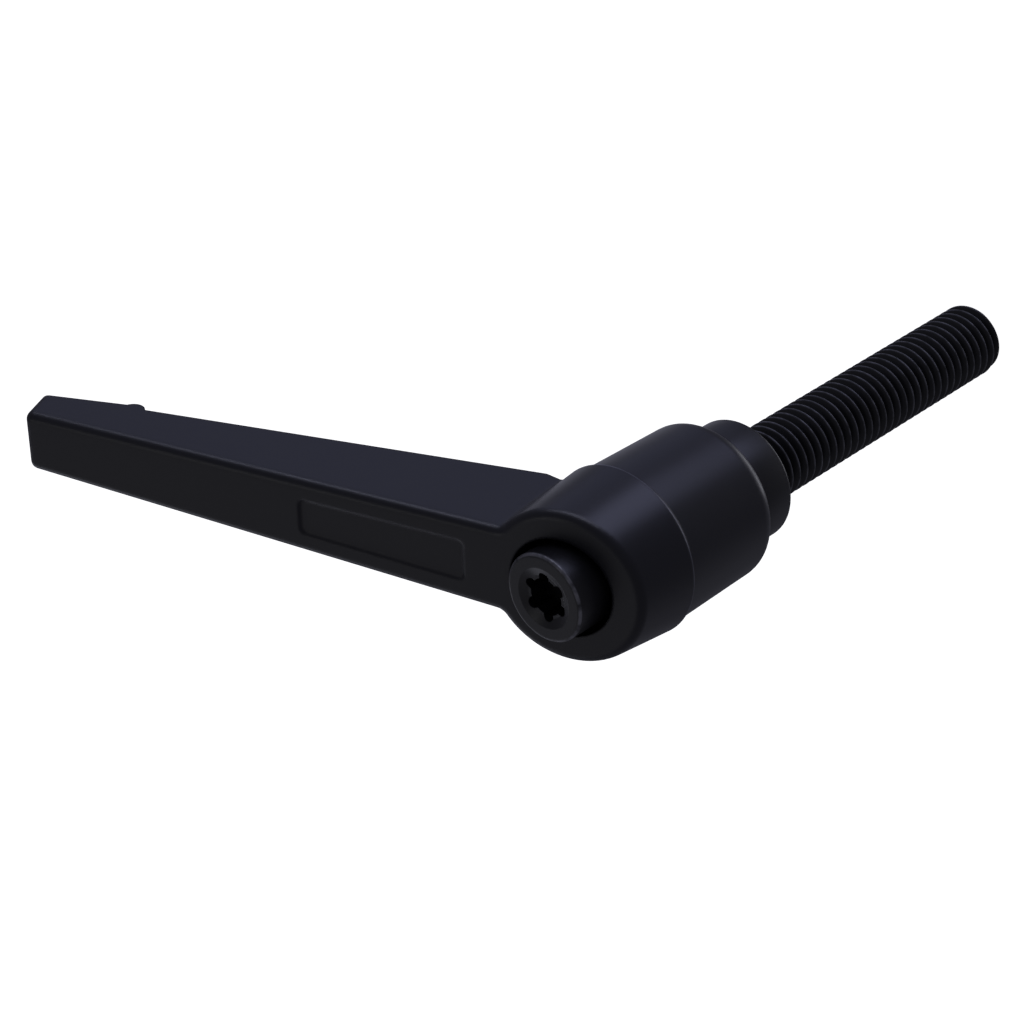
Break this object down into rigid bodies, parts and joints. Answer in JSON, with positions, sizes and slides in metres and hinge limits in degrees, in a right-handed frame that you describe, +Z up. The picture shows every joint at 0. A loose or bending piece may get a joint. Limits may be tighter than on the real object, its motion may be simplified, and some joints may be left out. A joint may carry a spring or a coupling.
{
  "type": "adjustable clamping lever",
  "caption": "Adjustable clamping lever: sloping tapered arm on a round hub with inner teeth, sprung on a threaded stud by a six-lobe socket screw.",
  "frame": {"origin": "on the stud's axis at the collar face that is clamped against the work", "axes": "+Z up the stud's axis to the screw head, +X under the arm towards its tip, the threaded stud points to -Z"},
  "size_m": [0.0878, 0.0222, 0.1027],
  "materials": {
    "handle_coat": "satin black powder coat on die-cast zinc",
    "stud_steel": "black oxide on turned steel",
    "screw_steel": "black oxide, rubbed bright at the rim",
    "spring_steel": "drawn spring wire, lightly oiled"
  },
  "bodies": {
    "stud": {"threaded_stud": "stud_steel", "retaining_screw": "screw_steel"},
    "spring": {"return_spring": "spring_steel"},
    "handle": {"lever_handle": "handle_coat"}
  },
  "joints": [
    {"name": "index_turn", "type": "hinge", "parent": "stud", "child": "spring", "pos_m": [0, 0, 0.02], "axis": [0, 0, 1], "continuous": true},
    {"name": "lift", "type": "slide", "parent": "spring", "child": "handle", "axis": [0, 0, 1], "range_m": [0, 0.005], "stiffness_N_per_m": 1800, "springref_m": -0.005, "deforming": ["return_spring"]}
  ]
}
